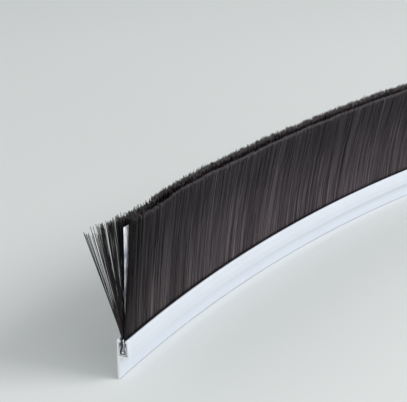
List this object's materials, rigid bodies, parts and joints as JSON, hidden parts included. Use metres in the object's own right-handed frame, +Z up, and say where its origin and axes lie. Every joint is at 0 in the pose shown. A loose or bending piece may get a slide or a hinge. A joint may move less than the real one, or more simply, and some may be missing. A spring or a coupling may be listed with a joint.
{
  "type": "curved brush door sweep",
  "caption": "Curved brush sweep for a door: an arched metal carrier with a flange, and a slide-in brush of dark bristles in two rows with a thin film between them.",
  "frame": {"origin": "centre of the bounding box at the flange's bottom edge, on the surface the sweep stands on", "axes": "+Z up, from the flange to the bristle tips; +X along the chord of the arc; +Y towards the convex side; the arc's axis is vertical, on the -Y side"},
  "size_m": [0.9912, 0.1151, 0.0971],
  "materials": {
    "anodised_aluminium": "satin silver anodised extrusion",
    "galvanised_steel": "rolled galvanised strip",
    "steel_wire": "drawn galvanised wire",
    "bristle": "dark brown-black filaments, slight sheen",
    "film": "thin milky white film"
  },
  "bodies": {
    "carrier": {"carrier_profile": "anodised_aluminium"},
    "brush_insert": {"steel_channel": "galvanised_steel", "core_wire": "steel_wire", "filament_fold": "bristle", "film_foot": "film"},
    "bristle_tuft_01": {"bristle_tuft_01": "bristle", "film_segment_01": "film"},
    "bristle_tuft_02": {"bristle_tuft_02": "bristle", "film_segment_02": "film"},
    "bristle_tuft_03": {"bristle_tuft_03": "bristle", "film_segment_03": "film"},
    "bristle_tuft_04": {"bristle_tuft_04": "bristle", "film_segment_04": "film"},
    "bristle_tuft_05": {"bristle_tuft_05": "bristle", "film_segment_05": "film"},
    "bristle_tuft_06": {"bristle_tuft_06": "bristle", "film_segment_06": "film"},
    "bristle_tuft_07": {"bristle_tuft_07": "bristle", "film_segment_07": "film"},
    "bristle_tuft_08": {"bristle_tuft_08": "bristle", "film_segment_08": "film"},
    "bristle_tuft_09": {"bristle_tuft_09": "bristle", "film_segment_09": "film"},
    "bristle_tuft_10": {"bristle_tuft_10": "bristle", "film_segment_10": "film"},
    "bristle_tuft_11": {"bristle_tuft_11": "bristle", "film_segment_11": "film"},
    "bristle_tuft_12": {"bristle_tuft_12": "bristle", "film_segment_12": "film"},
    "bristle_tuft_13": {"bristle_tuft_13": "bristle", "film_segment_13": "film"},
    "bristle_tuft_14": {"bristle_tuft_14": "bristle", "film_segment_14": "film"},
    "bristle_tuft_15": {"bristle_tuft_15": "bristle", "film_segment_15": "film"},
    "bristle_tuft_16": {"bristle_tuft_16": "bristle", "film_segment_16": "film"},
    "bristle_tuft_17": {"bristle_tuft_17": "bristle", "film_segment_17": "film"},
    "bristle_tuft_18": {"bristle_tuft_18": "bristle", "film_segment_18": "film"},
    "bristle_tuft_19": {"bristle_tuft_19": "bristle", "film_segment_19": "film"},
    "bristle_tuft_20": {"bristle_tuft_20": "bristle", "film_segment_20": "film"},
    "bristle_tuft_21": {"bristle_tuft_21": "bristle", "film_segment_21": "film"},
    "bristle_tuft_22": {"bristle_tuft_22": "bristle", "film_segment_22": "film"},
    "bristle_tuft_23": {"bristle_tuft_23": "bristle", "film_segment_23": "film"},
    "bristle_tuft_24": {"bristle_tuft_24": "bristle", "film_segment_24": "film"},
    "bristle_tuft_25": {"bristle_tuft_25": "bristle", "film_segment_25": "film"}
  },
  "joints": [
    {"name": "insert_slide", "type": "hinge", "parent": "carrier", "child": "brush_insert", "pos_m": [0, -1.14241, 0], "axis": [0, 0, 1], "range_deg": [-45, 45]},
    {"name": "bristle_tuft_01_bend", "type": "hinge", "parent": "brush_insert", "child": "bristle_tuft_01", "pos_m": [-0.46594, -0.04036, 0.025], "axis": [0.9211, 0.3894, 0], "range_deg": [-35, 35], "stiffness_Nm_per_rad": 0.08},
    {"name": "bristle_tuft_02_bend", "type": "hinge", "parent": "brush_insert", "child": "bristle_tuft_02", "pos_m": [-0.42895, -0.02544, 0.025], "axis": [0.9335, 0.3585, 0], "range_deg": [-35, 35], "stiffness_Nm_per_rad": 0.08},
    {"name": "bristle_tuft_03_bend", "type": "hinge", "parent": "brush_insert", "child": "bristle_tuft_03", "pos_m": [-0.39149, -0.01177, 0.025], "axis": [0.945, 0.3272, 0], "range_deg": [-35, 35], "stiffness_Nm_per_rad": 0.08},
    {"name": "bristle_tuft_04_bend", "type": "hinge", "parent": "brush_insert", "child": "bristle_tuft_04", "pos_m": [-0.35359, 0.00065, 0.025], "axis": [0.9553, 0.2955, 0], "range_deg": [-35, 35], "stiffness_Nm_per_rad": 0.08},
    {"name": "bristle_tuft_05_bend", "type": "hinge", "parent": "brush_insert", "child": "bristle_tuft_05", "pos_m": [-0.3153, 0.0118, 0.025], "axis": [0.9647, 0.2635, 0], "range_deg": [-35, 35], "stiffness_Nm_per_rad": 0.08},
    {"name": "bristle_tuft_06_bend", "type": "hinge", "parent": "brush_insert", "child": "bristle_tuft_06", "pos_m": [-0.27666, 0.02167, 0.025], "axis": [0.9729, 0.2312, 0], "range_deg": [-35, 35], "stiffness_Nm_per_rad": 0.08},
    {"name": "bristle_tuft_07_bend", "type": "hinge", "parent": "brush_insert", "child": "bristle_tuft_07", "pos_m": [-0.23771, 0.03024, 0.025], "axis": [0.9801, 0.1987, 0], "range_deg": [-35, 35], "stiffness_Nm_per_rad": 0.08},
    {"name": "bristle_tuft_08_bend", "type": "hinge", "parent": "brush_insert", "child": "bristle_tuft_08", "pos_m": [-0.1985, 0.03751, 0.025], "axis": [0.9861, 0.1659, 0], "range_deg": [-35, 35], "stiffness_Nm_per_rad": 0.08},
    {"name": "bristle_tuft_09_bend", "type": "hinge", "parent": "brush_insert", "child": "bristle_tuft_09", "pos_m": [-0.15906, 0.04347, 0.025], "axis": [0.9911, 0.1329, 0], "range_deg": [-35, 35], "stiffness_Nm_per_rad": 0.08},
    {"name": "bristle_tuft_10_bend", "type": "hinge", "parent": "brush_insert", "child": "bristle_tuft_10", "pos_m": [-0.11945, 0.04811, 0.025], "axis": [0.995, 0.0998, 0], "range_deg": [-35, 35], "stiffness_Nm_per_rad": 0.08},
    {"name": "bristle_tuft_11_bend", "type": "hinge", "parent": "brush_insert", "child": "bristle_tuft_11", "pos_m": [-0.07971, 0.05143, 0.025], "axis": [0.9978, 0.0666, 0], "range_deg": [-35, 35], "stiffness_Nm_per_rad": 0.08},
    {"name": "bristle_tuft_12_bend", "type": "hinge", "parent": "brush_insert", "child": "bristle_tuft_12", "pos_m": [-0.03988, 0.05343, 0.025], "axis": [0.9994, 0.0333, 0], "range_deg": [-35, 35], "stiffness_Nm_per_rad": 0.08},
    {"name": "bristle_tuft_13_bend", "type": "hinge", "parent": "brush_insert", "child": "bristle_tuft_13", "pos_m": [0, 0.05409, 0.025], "axis": [1, 0, 0], "range_deg": [-35, 35], "stiffness_Nm_per_rad": 0.08},
    {"name": "bristle_tuft_14_bend", "type": "hinge", "parent": "brush_insert", "child": "bristle_tuft_14", "pos_m": [0.03988, 0.05343, 0.025], "axis": [0.9994, -0.0333, 0], "range_deg": [-35, 35], "stiffness_Nm_per_rad": 0.08},
    {"name": "bristle_tuft_15_bend", "type": "hinge", "parent": "brush_insert", "child": "bristle_tuft_15", "pos_m": [0.07971, 0.05143, 0.025], "axis": [0.9978, -0.0666, 0], "range_deg": [-35, 35], "stiffness_Nm_per_rad": 0.08},
    {"name": "bristle_tuft_16_bend", "type": "hinge", "parent": "brush_insert", "child": "bristle_tuft_16", "pos_m": [0.11945, 0.04811, 0.025], "axis": [0.995, -0.0998, 0], "range_deg": [-35, 35], "stiffness_Nm_per_rad": 0.08},
    {"name": "bristle_tuft_17_bend", "type": "hinge", "parent": "brush_insert", "child": "bristle_tuft_17", "pos_m": [0.15906, 0.04347, 0.025], "axis": [0.9911, -0.1329, 0], "range_deg": [-35, 35], "stiffness_Nm_per_rad": 0.08},
    {"name": "bristle_tuft_18_bend", "type": "hinge", "parent": "brush_insert", "child": "bristle_tuft_18", "pos_m": [0.1985, 0.03751, 0.025], "axis": [0.9861, -0.1659, 0], "range_deg": [-35, 35], "stiffness_Nm_per_rad": 0.08},
    {"name": "bristle_tuft_19_bend", "type": "hinge", "parent": "brush_insert", "child": "bristle_tuft_19", "pos_m": [0.23771, 0.03024, 0.025], "axis": [0.9801, -0.1987, 0], "range_deg": [-35, 35], "stiffness_Nm_per_rad": 0.08},
    {"name": "bristle_tuft_20_bend", "type": "hinge", "parent": "brush_insert", "child": "bristle_tuft_20", "pos_m": [0.27666, 0.02167, 0.025], "axis": [0.9729, -0.2312, 0], "range_deg": [-35, 35], "stiffness_Nm_per_rad": 0.08},
    {"name": "bristle_tuft_21_bend", "type": "hinge", "parent": "brush_insert", "child": "bristle_tuft_21", "pos_m": [0.3153, 0.0118, 0.025], "axis": [0.9647, -0.2635, 0], "range_deg": [-35, 35], "stiffness_Nm_per_rad": 0.08},
    {"name": "bristle_tuft_22_bend", "type": "hinge", "parent": "brush_insert", "child": "bristle_tuft_22", "pos_m": [0.35359, 0.00065, 0.025], "axis": [0.9553, -0.2955, 0], "range_deg": [-35, 35], "stiffness_Nm_per_rad": 0.08},
    {"name": "bristle_tuft_23_bend", "type": "hinge", "parent": "brush_insert", "child": "bristle_tuft_23", "pos_m": [0.39149, -0.01177, 0.025], "axis": [0.945, -0.3272, 0], "range_deg": [-35, 35], "stiffness_Nm_per_rad": 0.08},
    {"name": "bristle_tuft_24_bend", "type": "hinge", "parent": "brush_insert", "child": "bristle_tuft_24", "pos_m": [0.42895, -0.02544, 0.025], "axis": [0.9335, -0.3585, 0], "range_deg": [-35, 35], "stiffness_Nm_per_rad": 0.08},
    {"name": "bristle_tuft_25_bend", "type": "hinge", "parent": "brush_insert", "child": "bristle_tuft_25", "pos_m": [0.46594, -0.04036, 0.025], "axis": [0.9211, -0.3894, 0], "range_deg": [-35, 35], "stiffness_Nm_per_rad": 0.08}
  ]
}
